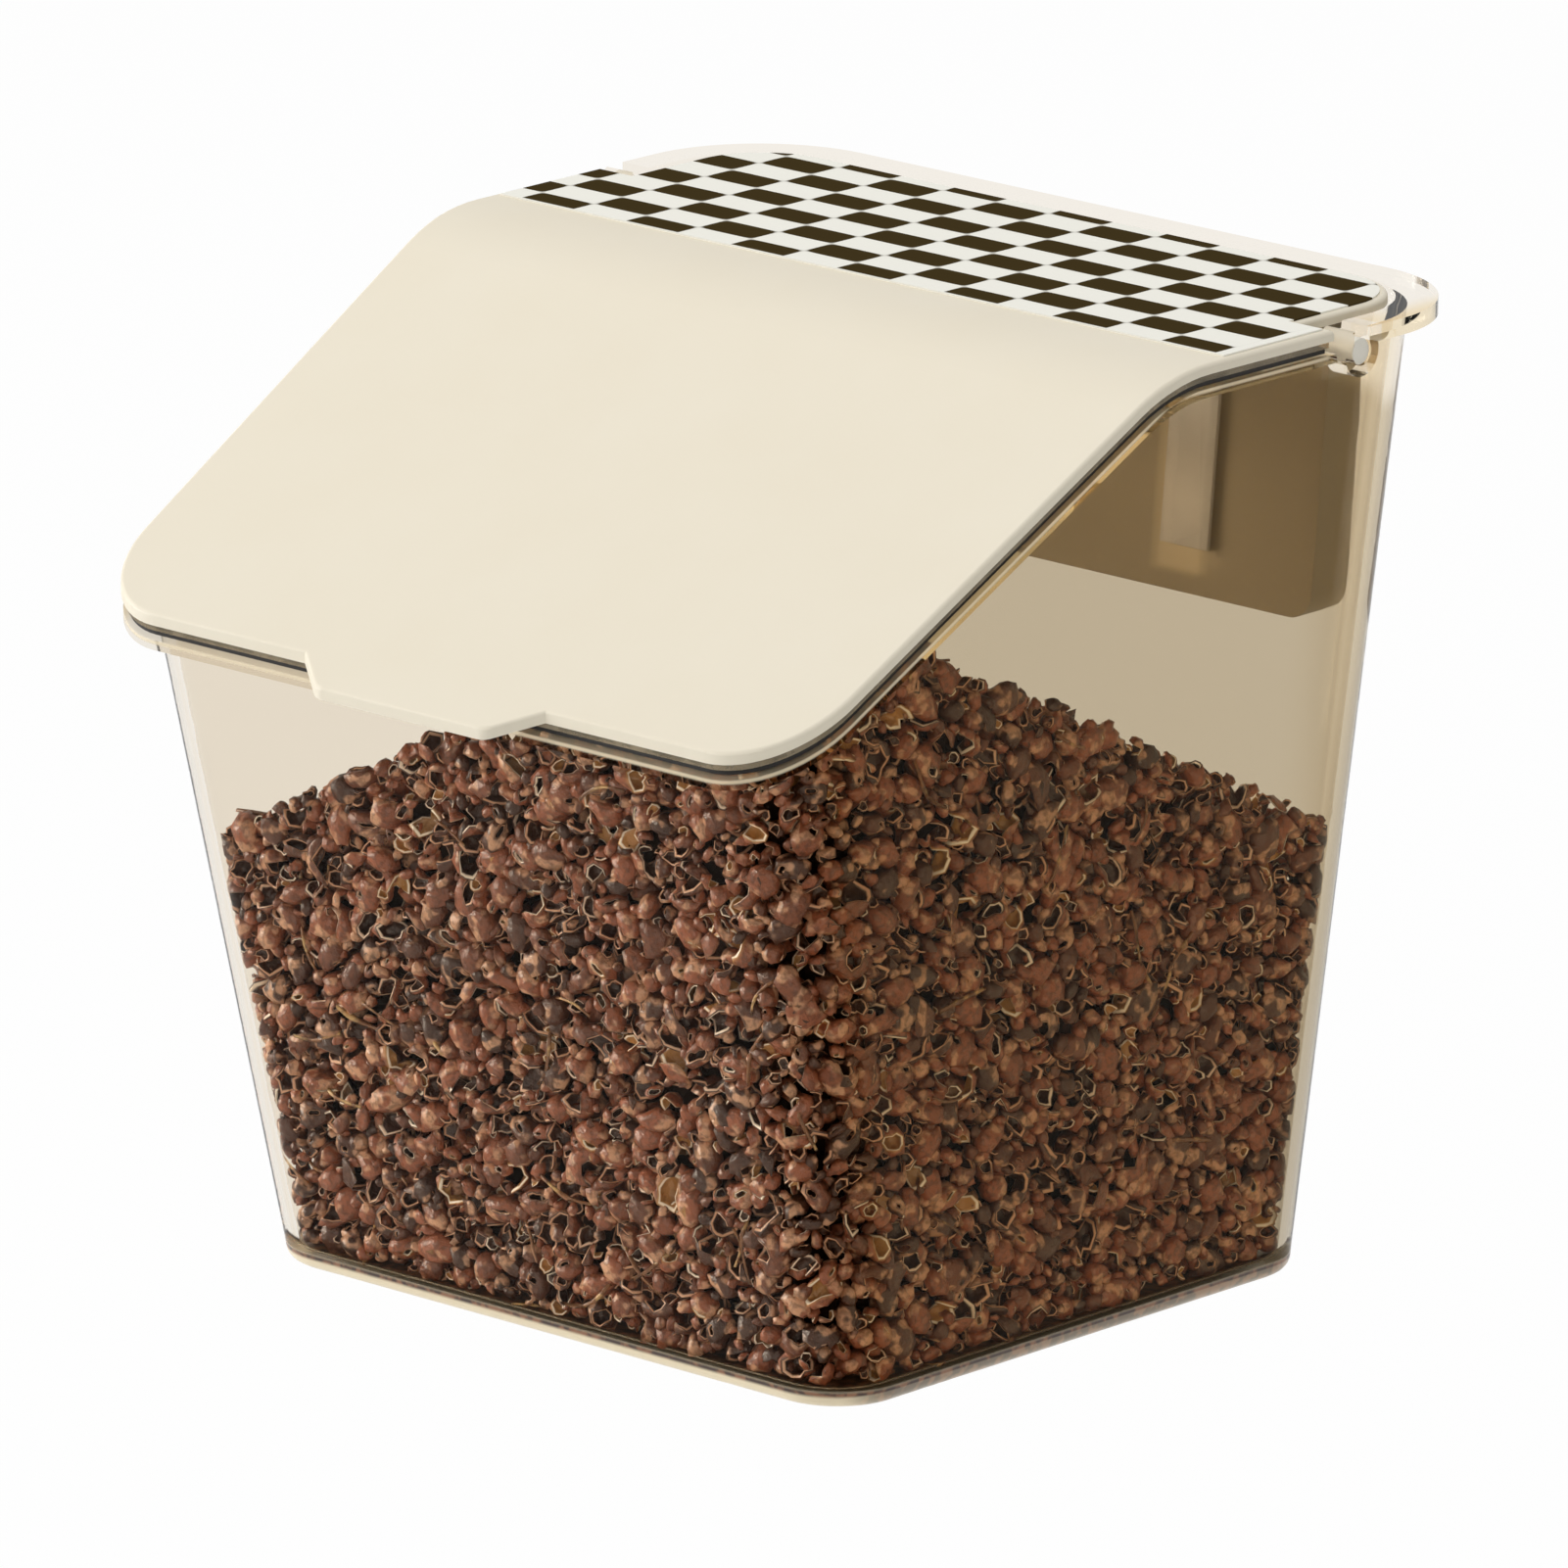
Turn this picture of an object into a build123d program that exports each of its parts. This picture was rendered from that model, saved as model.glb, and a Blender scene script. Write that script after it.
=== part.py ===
from build123d import *
import math
import os

os.makedirs("parts", exist_ok=True)

# Wall-mounted spice box. All sizes are in millimetres.
# The pieces are drawn in the box's own frame: X to the right, Y back to the wall, Z up,
# with Y = 0 on the lid's bend line and Z = 0 under the box. They are moved at the end
# so that the origin lies in the middle of the adhesive pad's face on the wall.

# Lid profile
top_height = 112.2
lid_front_run = 60.2
lid_drop = 33.2
bend_radius = 24.0
lid_overhang = 1.6
lid_front_radius = 11.5
lid_rear_radius = 10.0
cover_thickness = 1.2
cover_edge_radius = 0.5

# Pull tab on the front edge
tab_root_half = 18.0
tab_tip_half = 12.6
tab_reach = 4.0
tab_radius = 2.6

# Clear frame and seal under the cover
frame_thickness = 0.8
frame_width = 8.0
frame_inset = 0.4
seal_thickness = 0.6
seal_width = 2.6
seal_inset = 0.7
seal_gap = 0.25

# Box shell
base_half_width = 44.3
base_front = 40.4
base_rear = 39.6
side_draft = 0.081
front_draft = 0.203
rear_draft = 0.0964
base_corner_radius = 8.5
front_radius_growth = 0.018
rear_radius_growth = 0.049
wall = 1.5
floor = 1.8
foot_radius = 1.6
floor_radius = 1.2
flange_thickness = 1.0
flange_inset = 0.25
rear_rim_thickness = 1.9
rear_rim_below_top = 0.3
rear_rim_side = 2.6
rear_rim_back = 3.6

# Hinge
hinge_run = 30.5
pin_radius = 1.5
pin_cover_gap = 0.2
pin_running_gap = 0.07
pin_seat_gap = 0.02
pin_end_inset = 0.3
ear_wall = 1.25
ear_slot_width = 2.6
notch_gap = 0.8
lug_thickness = 3.2
lug_wall = 1.1
lug_side_gap = 0.3
lid_side_gap = 1.9
lid_rear_gap = 0.75

# Checkered film on the level part of the lid
film_thickness = 0.2
film_front = 9.4
film_inset = 0.9

# Wall plate, adhesive pad and hangers
plate_half_width = 34.5
plate_below_top = 9.2
plate_height = 31.5
plate_radius = 3.0
plate_gap = 0.8
plate_lip = 1.7
plate_back = 1.4
wall_gap = 3.0
pad_thickness = 1.0
pad_inset = 2.0
hanger_spread = 16.0
stem_width = 4.4
stem_height = 20.0
head_width = 8.8
head_height = 11.0
stem_above_plate_bottom = 5.5
hanger_base_width = 7.0
hanger_base_thickness = 0.5
hanger_seat_gap = 0.3
slot_side_gap = 0.4
pocket_gap = 0.25
lead_in_width = 7.6
lead_in_drop = 12.0

# Peppercorn husks
fill_gap = 0.3
heap_corner_x = 49.0
heap_corner_y = -52.0
heap_corner_z = 95.4
heap_slope = 0.46
heap_low = 47.0
heap_headroom = 5.0
cluster_step = 9.3
cluster_height = 3.1

# What follows from the sizes above
far = 300.0
slope = math.atan2(lid_drop, lid_front_run)
bend_tangent = bend_radius * math.tan(slope / 2)
frame_top = cover_thickness
seal_top = frame_top + frame_thickness
flange_top = seal_top + seal_thickness + seal_gap
flange_bottom = flange_top + flange_thickness
hinge_z = top_height - cover_thickness - pin_cover_gap - pin_radius
ear_radius = pin_radius + pin_running_gap + ear_wall
notch_y = hinge_run - ear_radius - notch_gap
rim_top = top_height - rear_rim_below_top


def half_width(z):
    """Half the shell's outer width at height z."""
    return base_half_width + side_draft * z


def front_face(z):
    """Y of the shell's outer front face at height z."""
    return -base_front - front_draft * z


def rear_face(z):
    """Y of the shell's outer rear face at height z."""
    return base_rear + rear_draft * z


def plate_outline(x_half, y_front, y_rear, front_radius, rear_radius):
    """Level outline, even about X = 0, with its own radius at the front and rear corners."""
    face = Pos(0, (y_front + y_rear) / 2) * Rectangle(2 * x_half, y_rear - y_front)
    if front_radius > 0:
        face = fillet(face.vertices().group_by(Axis.Y)[0], front_radius)
    if rear_radius > 0:
        face = fillet(face.vertices().group_by(Axis.Y)[-1], rear_radius)
    return face


def shell_section(z, inset):
    """Rounded section of the shell at height z, drawn in by inset."""
    outline = plate_outline(
        half_width(z) - inset,
        front_face(z) + inset,
        rear_face(z) - inset,
        base_corner_radius + front_radius_growth * z - inset,
        base_corner_radius + rear_radius_growth * z - inset,
    )
    return Pos(0, 0, z) * outline


def tapered(inset, z_low, z_high):
    """Tapered block that follows the shell's draft, drawn in by inset."""
    low = shell_section(z_low, inset)
    high = shell_section(z_high, inset)
    return loft([low.face(), high.face()], ruled=True)


def under_lid(depth):
    """All that lies deeper than depth under the lid's top face, measured square to it."""
    radius = bend_radius - depth
    centre_y = bend_tangent
    centre_z = top_height - bend_radius

    def on_bend(angle):
        return (0, centre_y - radius * math.sin(angle), centre_z + radius * math.cos(angle))

    start = on_bend(slope)
    front = (0, start[1] - far * math.cos(slope), start[2] - far * math.sin(slope))
    flat = on_bend(0)
    rear = (0, far, flat[2])
    edges = [
        Edge.make_line(front, start),
        Edge.make_three_point_arc(start, on_bend(slope / 2), flat),
        Edge.make_line(flat, rear),
        Edge.make_line(rear, (0, far, -far)),
        Edge.make_line((0, far, -far), (0, front[1], -far)),
        Edge.make_line((0, front[1], -far), front),
    ]
    return extrude(Face(Wire(edges)), amount=far, dir=(1, 0, 0), both=True)


def lid_layer(top, bottom):
    """Bent sheet between two depths under the lid's top face."""
    return under_lid(top) - under_lid(bottom)


def upright(outline):
    """Prism of a level outline through the whole height of the object."""
    return extrude(Pos(0, 0, -far) * outline, amount=2 * far)


def block(x0, x1, y0, y1, z0, z1):
    """Box between two corners."""
    return Pos((x0 + x1) / 2, (y0 + y1) / 2, (z0 + z1) / 2) * Box(x1 - x0, y1 - y0, z1 - z0)


def cross_rod(radius, x0, x1, y, z):
    """Round rod along X from x0 to x1."""
    return Pos((x0 + x1) / 2, y, z) * Rot(0, 90, 0) * Cylinder(radius, x1 - x0)


def both_sides(solid):
    """A shape and its mirror image about the middle plane."""
    return solid + mirror(solid, Plane.YZ)


# Lid outlines, seen from above
lid_half_width = half_width(top_height) + lid_overhang
lid_front_half_width = half_width(top_height - lid_drop) + lid_overhang
rear_half_width = half_width(top_height) - wall - lid_side_gap
lid_rear = rear_face(top_height) - wall - lid_rear_gap


def rim_outline(inset, y_rear):
    """The mouth's outline up to y_rear: even along the level part, tapering down the slope."""
    half = lid_half_width - inset
    front_half = lid_front_half_width - inset
    y_front = inset - lid_front_run
    rear = [(half, 0), (half, y_rear), (-half, y_rear), (-half, 0)]
    front = [(-front_half, y_front), (front_half, y_front)]
    face = make_face(Polyline(*rear, *front, close=True))
    return fillet(face.vertices().group_by(Axis.Y)[0], lid_front_radius - inset)


def lid_front_outline(inset):
    """The lid's wide part, in front of the hinges."""
    return rim_outline(inset, notch_y - inset)


def lid_rear_outline(inset):
    """The lid's narrower part, which lies between the hinge ears and behind them."""
    return plate_outline(
        rear_half_width - inset, notch_y - lid_front_radius, lid_rear - inset, 0, lid_rear_radius - inset
    )


def lid_outline(inset):
    """The whole lid, seen from above."""
    return lid_front_outline(inset) + lid_rear_outline(inset)


def tab_outline():
    """Pull tab on the lid's front edge, with its flared root."""
    front = -lid_front_run
    points = [
        (-tab_root_half, front + lid_front_radius),
        (-tab_root_half, front),
        (-tab_tip_half, front - tab_reach),
        (tab_tip_half, front - tab_reach),
        (tab_root_half, front),
        (tab_root_half, front + lid_front_radius),
    ]
    face = make_face(Polyline(*points, close=True))
    return fillet(face.vertices().group_by(Axis.Y)[0], tab_radius)


def make_cover():
    """Cream lid panel with its pull tab and softened upper edge."""
    outline = lid_outline(0) + tab_outline()
    sheet = (under_lid(0) & upright(outline)) - under_lid(cover_thickness)
    skyward = [f for f in sheet.faces() if f.normal_at().Z > 0.5]
    top_edges = []
    for face in skyward:
        for edge in face.outer_wire().edges():
            shared = [f for f in skyward if any(edge.is_same(e) for e in f.edges())]
            if len(shared) == 1:
                top_edges.append(edge)
    return fillet(top_edges, cover_edge_radius)


def make_film():
    """Thin printed film on the level part of the lid."""
    outline = lid_outline(film_inset) & plate_outline(far, film_front, far, 0, 0)
    return extrude(Pos(0, 0, top_height) * outline, amount=film_thickness)


def make_frame():
    """Clear frame under the cover, with the two lugs that hold the hinge pins."""
    window = lid_front_outline(frame_width) + lid_rear_outline(frame_width)
    ring = lid_layer(frame_top, seal_top) & upright(lid_outline(frame_inset) - window)
    outer = rear_half_width - lug_side_gap
    lug_radius = pin_radius + lug_wall
    lug = cross_rod(lug_radius, outer - lug_thickness, outer, hinge_run, hinge_z)
    lug += block(
        outer - lug_thickness,
        outer,
        hinge_run - lug_radius,
        hinge_run + lug_radius,
        hinge_z,
        top_height - frame_top,
    )
    lug -= block(0, far, 0, far, top_height - frame_top, far)
    bore = cross_rod(pin_radius + pin_seat_gap, outer - lug_thickness, far, hinge_run, hinge_z)
    return ring + both_sides(lug) - both_sides(bore)


def make_seal():
    """Dark seal strip round the front and both sides, glued under the frame."""
    outline = lid_front_outline(seal_inset)
    inner = lid_front_outline(seal_inset + seal_width)
    inner += plate_outline(lid_half_width - seal_inset - seal_width, 0, far, 0, 0)
    band = lid_layer(seal_top, seal_top + seal_thickness)
    return band & upright(outline - inner)


def make_pin():
    """Right hinge pin, from the lug out to the ear's face."""
    inner = rear_half_width - lug_side_gap - lug_thickness
    outer = half_width(rim_top) + rear_rim_side - pin_end_inset
    return cross_rod(pin_radius, inner, outer, hinge_run, hinge_z)


def make_shell():
    """Clear box with its flange, rear rim and hinge ears."""
    outer = tapered(0, 0, top_height + flange_bottom)
    outer = fillet(outer.faces().sort_by(Axis.Z)[0].edges(), foot_radius)
    room = tapered(wall, floor, top_height + flange_bottom)
    room = fillet(room.faces().sort_by(Axis.Z)[0].edges(), floor_radius)
    behind_hinge = block(-far, far, hinge_run, far, -far, rim_top)
    walls = outer & (under_lid(flange_bottom) + behind_hinge)

    flange_edge = rim_outline(flange_inset, hinge_run)
    flange = lid_layer(flange_top, flange_bottom) & upright(flange_edge)

    rim_radius = base_corner_radius + rear_radius_growth * rim_top + rear_rim_side
    rim_edge = plate_outline(
        half_width(rim_top) + rear_rim_side, 0, rear_face(rim_top) + rear_rim_back, 0, rim_radius
    )
    rim = upright(rim_edge) & block(
        -far, far, hinge_run, far, rim_top - rear_rim_thickness, rim_top
    )

    ear_face = half_width(rim_top) + rear_rim_side
    ear = cross_rod(ear_radius, half_width(hinge_z) - 2 * wall, ear_face, hinge_run, hinge_z)
    bearing = cross_rod(pin_radius + pin_running_gap, rear_half_width, far, hinge_run, hinge_z)
    bearing += block(
        rear_half_width,
        far,
        hinge_run - ear_slot_width / 2,
        hinge_run + ear_slot_width / 2,
        hinge_z,
        far,
    )
    solid = walls + flange + rim + both_sides(ear) - room
    return solid - both_sides(bearing)


# Places of the wall plate's faces
rim_back = rear_face(rim_top) + rear_rim_back
wall_plane = rim_back + wall_gap
pad_front = wall_plane - pad_thickness
plate_top = top_height - plate_below_top
plate_bottom = plate_top - plate_height
pocket_front = rear_face(plate_top) + plate_gap + plate_lip
pocket_back = pad_front - plate_back
head_thickness = pocket_back - pocket_front - 2 * pocket_gap
stem_bottom = plate_bottom + stem_above_plate_bottom
pad_middle = plate_bottom + plate_height / 2


def behind_shell(gap, z_low, z_high, y_back, x_half, x_middle=0.0):
    """Wedge between the shell's sloping rear face, with a gap to it, and an upright plane."""
    points = [
        (0, rear_face(z_low) + gap, z_low),
        (0, y_back, z_low),
        (0, y_back, z_high),
        (0, rear_face(z_high) + gap, z_high),
    ]
    side = Face(Wire.make_polygon([Vector(*p) for p in points], close=True))
    return Pos(x_middle, 0, 0) * extrude(side, amount=x_half, dir=(1, 0, 0), both=True)


def make_hanger(side):
    """Clear hanger on the rear wall: a foot, a stem and a wider head."""
    x = side * hanger_spread
    stem_top = stem_bottom + stem_height
    foot = behind_shell(
        0, stem_bottom, stem_top, far, hanger_base_width / 2, x
    ) - behind_shell(hanger_base_thickness, 0, far, far, far)
    stem = behind_shell(0, stem_bottom, stem_top, pocket_front + pocket_gap, stem_width / 2, x)
    head = block(
        x - head_width / 2,
        x + head_width / 2,
        pocket_front + pocket_gap,
        pocket_front + pocket_gap + head_thickness,
        stem_bottom,
        stem_bottom + head_height,
    )
    return foot + stem + head


def make_slot(side):
    """What a hanger needs free in the wall plate: a slot, a pocket behind it and a lead-in."""
    x = side * hanger_spread
    low = stem_bottom - hanger_seat_gap
    slot_half = stem_width / 2 + slot_side_gap
    slot = block(x - slot_half, x + slot_half, 0, pocket_back, low, far)
    head_half = head_width / 2 + slot_side_gap
    pocket = block(x - head_half, x + head_half, pocket_front, pocket_back, low, far)
    points = [
        (x - slot_half, plate_top - lead_in_drop),
        (x + slot_half, plate_top - lead_in_drop),
        (x + lead_in_width / 2, plate_top),
        (x + lead_in_width / 2, plate_top + far),
        (x - lead_in_width / 2, plate_top + far),
        (x - lead_in_width / 2, plate_top),
    ]
    mouth = make_face(Polyline(*points, close=True))
    lead_in = extrude(Plane.XZ * mouth, amount=-pocket_back)
    return slot + pocket + lead_in


def make_plate():
    """Dark wall plate: a wedge with upright back and front along the shell's rear face."""
    body = behind_shell(plate_gap, plate_bottom, plate_top, pad_front, plate_half_width)
    body = fillet(body.edges().filter_by(Axis.Y), plate_radius)
    return body - make_slot(-1) - make_slot(1)


def make_pad():
    """Adhesive foam pad on the back of the wall plate."""
    width = 2 * (plate_half_width - pad_inset)
    height = plate_height - 2 * pad_inset
    sheet = RectangleRounded(width, height, plate_radius)
    on_wall = Plane((0, wall_plane, pad_middle), x_dir=(1, 0, 0), z_dir=(0, -1, 0))
    return extrude(on_wall * sheet, amount=pad_thickness)


def heap_top(x, y):
    """Height of the heap: highest in the front right corner, falling to a low bed at the rear left."""
    tilted = heap_corner_z + heap_slope * (x - heap_corner_x) - heap_slope * (y - heap_corner_y)
    under_cover = top_height + min(y, 0) * math.tan(slope) - heap_headroom / math.cos(slope)
    return min(max(tilted, heap_low), under_cover)


def heap_place(side, depth, level, sink):
    """Place on the heap's skin, drawn in by sink.

    side and depth run from -1 to 1 across the box, and level from 0 at the floor to 1 on top.
    """
    inset = wall + fill_gap + sink
    z_low = floor + fill_gap + sink
    x, y, z = 0, 0, heap_low
    for _ in range(4):
        z = z_low + level * (heap_top(x, y) - sink - z_low)
        growth = front_radius_growth if depth < 0 else rear_radius_growth
        corner = abs(side) == 1 and abs(depth) == 1
        cut = (base_corner_radius + growth * z - inset) * (1 - math.sqrt(0.5)) if corner else 0
        half_depth = (rear_face(z) - front_face(z)) / 2
        x = side * (half_width(z) - inset - cut)
        y = (rear_face(z) + front_face(z)) / 2 + depth * (half_depth - inset - cut)
    return Vector(x, y, z)


def make_cluster(corners):
    """Four facets that rise from a cell's corners to its crest."""
    feet = [heap_place(*corner, cluster_height) for corner in corners]
    crest = sum((heap_place(*corner, 0) for corner in corners), Vector(0, 0, 0)) / len(corners)
    ring = zip(feet, feet[1:] + feet[:1])
    return [Face(Wire.make_polygon([here, there, crest])) for here, there in ring]


def make_fill():
    """Heap of husks, with clusters that stand out of every face and touch the walls at their crests."""
    columns = round(2 * half_width(0) / cluster_step)
    rows = round((rear_face(0) - front_face(0)) / cluster_step)
    levels = round(heap_low / cluster_step) + 2
    sides = [2 * i / columns - 1 for i in range(columns + 1)]
    depths = [2 * i / rows - 1 for i in range(rows + 1)]
    heights = [i / levels for i in range(levels + 1)]
    facets = []
    for level in (0, 1):
        for a, b in zip(sides, sides[1:]):
            for c, d in zip(depths, depths[1:]):
                facets += make_cluster([(a, c, level), (b, c, level), (b, d, level), (a, d, level)])
    for e, f in zip(heights, heights[1:]):
        for end in (-1, 1):
            for a, b in zip(sides, sides[1:]):
                facets += make_cluster([(a, end, e), (b, end, e), (b, end, f), (a, end, f)])
            for c, d in zip(depths, depths[1:]):
                facets += make_cluster([(end, c, e), (end, d, e), (end, d, f), (end, c, f)])
    return Solid(Shell(facets))


pieces = {
    "box_shell": make_shell(),
    "lid_cover": make_cover(),
    "checker_film": make_film(),
    "lid_frame": make_frame(),
    "lid_seal": make_seal(),
    "hinge_pin_right": make_pin(),
    "hinge_pin_left": mirror(make_pin(), Plane.YZ),
    "hanger_left": make_hanger(-1),
    "hanger_right": make_hanger(1),
    "wall_plate": make_plate(),
    "adhesive_pad": make_pad(),
    "spice_fill": make_fill(),
}

to_wall_frame = Pos(0, -wall_plane, -pad_middle)
for name, shape in pieces.items():
    export_step(to_wall_frame * shape, f"parts/{name}.step")
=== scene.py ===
"""Looks of the wall-mounted spice box: a clear bin of peppercorn husks under a bent cream lid.

Everything is in metres in the part's own frame: X to the right, Y into the wall and Z up,
with the origin in the middle of the adhesive pad's face.
"""

from __future__ import annotations

import logging
import math
from dataclasses import dataclass, field
from enum import Enum
from itertools import product
from typing import Any, Optional, Union

import bpy
import numpy as np
from mathutils import Matrix, Vector

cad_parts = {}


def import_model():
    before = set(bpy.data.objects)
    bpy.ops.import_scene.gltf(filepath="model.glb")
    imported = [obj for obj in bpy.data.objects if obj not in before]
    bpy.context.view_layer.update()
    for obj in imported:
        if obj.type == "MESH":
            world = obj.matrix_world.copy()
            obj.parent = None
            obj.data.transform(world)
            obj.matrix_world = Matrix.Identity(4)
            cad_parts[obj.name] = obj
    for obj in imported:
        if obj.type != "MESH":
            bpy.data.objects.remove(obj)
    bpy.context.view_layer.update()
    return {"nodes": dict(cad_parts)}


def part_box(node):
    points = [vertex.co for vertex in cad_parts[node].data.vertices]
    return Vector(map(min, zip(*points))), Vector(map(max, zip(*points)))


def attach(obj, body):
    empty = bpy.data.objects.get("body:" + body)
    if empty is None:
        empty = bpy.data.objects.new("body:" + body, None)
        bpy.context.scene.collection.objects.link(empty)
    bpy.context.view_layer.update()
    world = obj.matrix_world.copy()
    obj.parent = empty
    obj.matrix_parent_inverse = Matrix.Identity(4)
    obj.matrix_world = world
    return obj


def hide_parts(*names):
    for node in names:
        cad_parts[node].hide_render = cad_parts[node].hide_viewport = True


log = logging.getLogger("spice_box")

MM = 0.001

Colour = tuple[float, float, float, float]


def paint(code: str) -> Colour:
    """Turns a screen colour into the linear colour that a shader takes.

    Args:
        code: Six hexadecimal digits, red first.

    Returns:
        Linear red, green and blue, with full alpha.
    """
    channels = [int(code[i : i + 2], 16) / 255 for i in (0, 2, 4)]
    linear = [c / 12.92 if c <= 0.04045 else ((c + 0.055) / 1.055) ** 2.4 for c in channels]
    return (linear[0], linear[1], linear[2], 1.0)


class Wire:
    """A value on its way out of a shader node, with the arithmetic of plain numbers."""

    def __init__(self, sheet: "NodeSheet", socket: bpy.types.NodeSocket) -> None:
        """Keeps the socket and the sheet that its node stands on."""
        self.sheet = sheet
        self.socket = socket

    def _math(self, operation: str, first: "Operand", second: "Operand") -> "Wire":
        """Adds one Math node.

        Args:
            operation: The node's operation.
            first: First value or wire.
            second: Second value or wire.

        Returns:
            The node's result.
        """
        return self.sheet.wire("ShaderNodeMath", {"operation": operation}, {0: first, 1: second})

    def __add__(self, other: "Operand") -> "Wire":
        """Adds."""
        return self._math("ADD", self, other)

    def __radd__(self, other: "Operand") -> "Wire":
        """Adds to a plain number."""
        return self._math("ADD", other, self)

    def __sub__(self, other: "Operand") -> "Wire":
        """Subtracts."""
        return self._math("SUBTRACT", self, other)

    def __rsub__(self, other: "Operand") -> "Wire":
        """Subtracts from a plain number."""
        return self._math("SUBTRACT", other, self)

    def __mul__(self, other: "Operand") -> "Wire":
        """Multiplies."""
        return self._math("MULTIPLY", self, other)

    def __rmul__(self, other: "Operand") -> "Wire":
        """Multiplies a plain number."""
        return self._math("MULTIPLY", other, self)

    def sine(self) -> "Wire":
        """Sine of an angle in radians."""
        return self._math("SINE", self, 0.0)

    def size(self) -> "Wire":
        """The value without its sign."""
        return self._math("ABSOLUTE", self, 0.0)

    def at_least(self, other: "Operand") -> "Wire":
        """The larger of two values."""
        return self._math("MAXIMUM", self, other)

    def at_most(self, other: "Operand") -> "Wire":
        """The smaller of two values."""
        return self._math("MINIMUM", self, other)


Operand = Union[float, Wire]


class NodeSheet:
    """The node tree of one material or of the world."""

    def __init__(self, tree: bpy.types.NodeTree) -> None:
        """Starts from an empty tree."""
        tree.nodes.clear()
        self.tree = tree

    def node(
        self,
        kind: str,
        settings: Optional[dict[str, Any]] = None,
        sockets: Optional[dict[Union[int, str], Any]] = None,
    ) -> bpy.types.Node:
        """Adds a node.

        Args:
            kind: The node's type.
            settings: Its properties, set before the sockets.
            sockets: Values or wires by socket name or number.

        Returns:
            The new node.
        """
        made = self.tree.nodes.new(kind)
        for name, value in (settings or {}).items():
            setattr(made, name, value)
        for key, value in (sockets or {}).items():
            if isinstance(value, Wire):
                self.tree.links.new(value.socket, made.inputs[key])
            else:
                made.inputs[key].default_value = value
        return made

    def wire(
        self,
        kind: str,
        settings: Optional[dict[str, Any]] = None,
        sockets: Optional[dict[Union[int, str], Any]] = None,
        output: Union[int, str] = 0,
    ) -> Wire:
        """Adds a node and gives one of its outputs.

        Args:
            kind: The node's type.
            settings: Its properties.
            sockets: Values or wires by socket name or number.
            output: Name or number of the output.

        Returns:
            The wire that leaves that output.
        """
        return Wire(self, self.node(kind, settings, sockets).outputs[output])

    def mix(self, share: Operand, first: Union[Colour, Wire], second: Union[Colour, Wire]) -> Wire:
        """Mixes two colours.

        Args:
            share: 0 gives the first colour and 1 the second.
            first: First colour.
            second: Second colour.

        Returns:
            The mixed colour.
        """
        return self.wire("ShaderNodeMix", {"data_type": "RGBA"}, {0: share, 6: first, 7: second}, 2)

    def ramp(self, value: Wire, low: float, high: float) -> Wire:
        """Rises smoothly from 0 where the value is low to 1 where it is high.

        Args:
            value: The value to read.
            low: Where the rise starts.
            high: Where the rise ends.

        Returns:
            The smooth step.
        """
        settings = {"interpolation_type": "SMOOTHSTEP"}
        return self.wire("ShaderNodeMapRange", settings, {0: value, 1: low, 2: high, 3: 0.0, 4: 1.0})

    def step(self, value: Wire, at: float, soft: float) -> Wire:
        """Rises smoothly from 0 to 1 about one value.

        Args:
            value: The value to read.
            at: Where the rise is half done.
            soft: Half the length of the rise.

        Returns:
            The smooth step.
        """
        return self.ramp(value, at - soft, at + soft)

    def place(self) -> Wire:
        """The point's place in the part's frame."""
        return self.wire("ShaderNodeTexCoord", output="Object")

    def along(self, place: Wire) -> tuple[Wire, Wire, Wire]:
        """Splits a place into its X, Y and Z."""
        made = self.node("ShaderNodeSeparateXYZ", None, {0: place})
        return Wire(self, made.outputs[0]), Wire(self, made.outputs[1]), Wire(self, made.outputs[2])

    def noise(self, place: Wire, grain: float, detail: float = 2.0) -> Wire:
        """Soft random value, even about a half.

        Args:
            place: Where to read it.
            grain: Size of one blotch in metres.
            detail: How many finer layers it has.

        Returns:
            A value from 0 to 1.
        """
        sockets = {"Vector": place, "Scale": 1 / grain, "Detail": detail}
        return self.wire("ShaderNodeTexNoise", None, sockets)

    def bump(self, height: Wire, depth: float, strength: float = 1.0) -> Wire:
        """Turns a height map into a surface direction.

        Args:
            height: Height from 0 to 1.
            depth: What a height of 1 is worth, in metres.
            strength: Share of the effect.

        Returns:
            The direction for a Normal socket.
        """
        sockets = {"Strength": strength, "Distance": depth, "Height": height}
        return self.wire("ShaderNodeBump", None, sockets)

    def attribute(self, name: str) -> Wire:
        """A number that the mesh holds for each point."""
        return self.wire("ShaderNodeAttribute", {"attribute_name": name}, None, "Fac")

    def shown(self) -> Wire:
        """Tells what is seen from what only gives light.

        Returns:
            1 for what the camera sees, straight, mirrored or through clear plastic, and 0 for light.
        """
        path = self.node("ShaderNodeLightPath")
        names = ("Is Camera Ray", "Is Glossy Ray", "Is Transmission Ray", "Diffuse Depth")
        camera, glossy, through, matt_bounces = (Wire(self, path.outputs[name]) for name in names)
        return camera.at_least(glossy).at_least(through) * (1 - matt_bounces.at_most(1.0))


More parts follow.
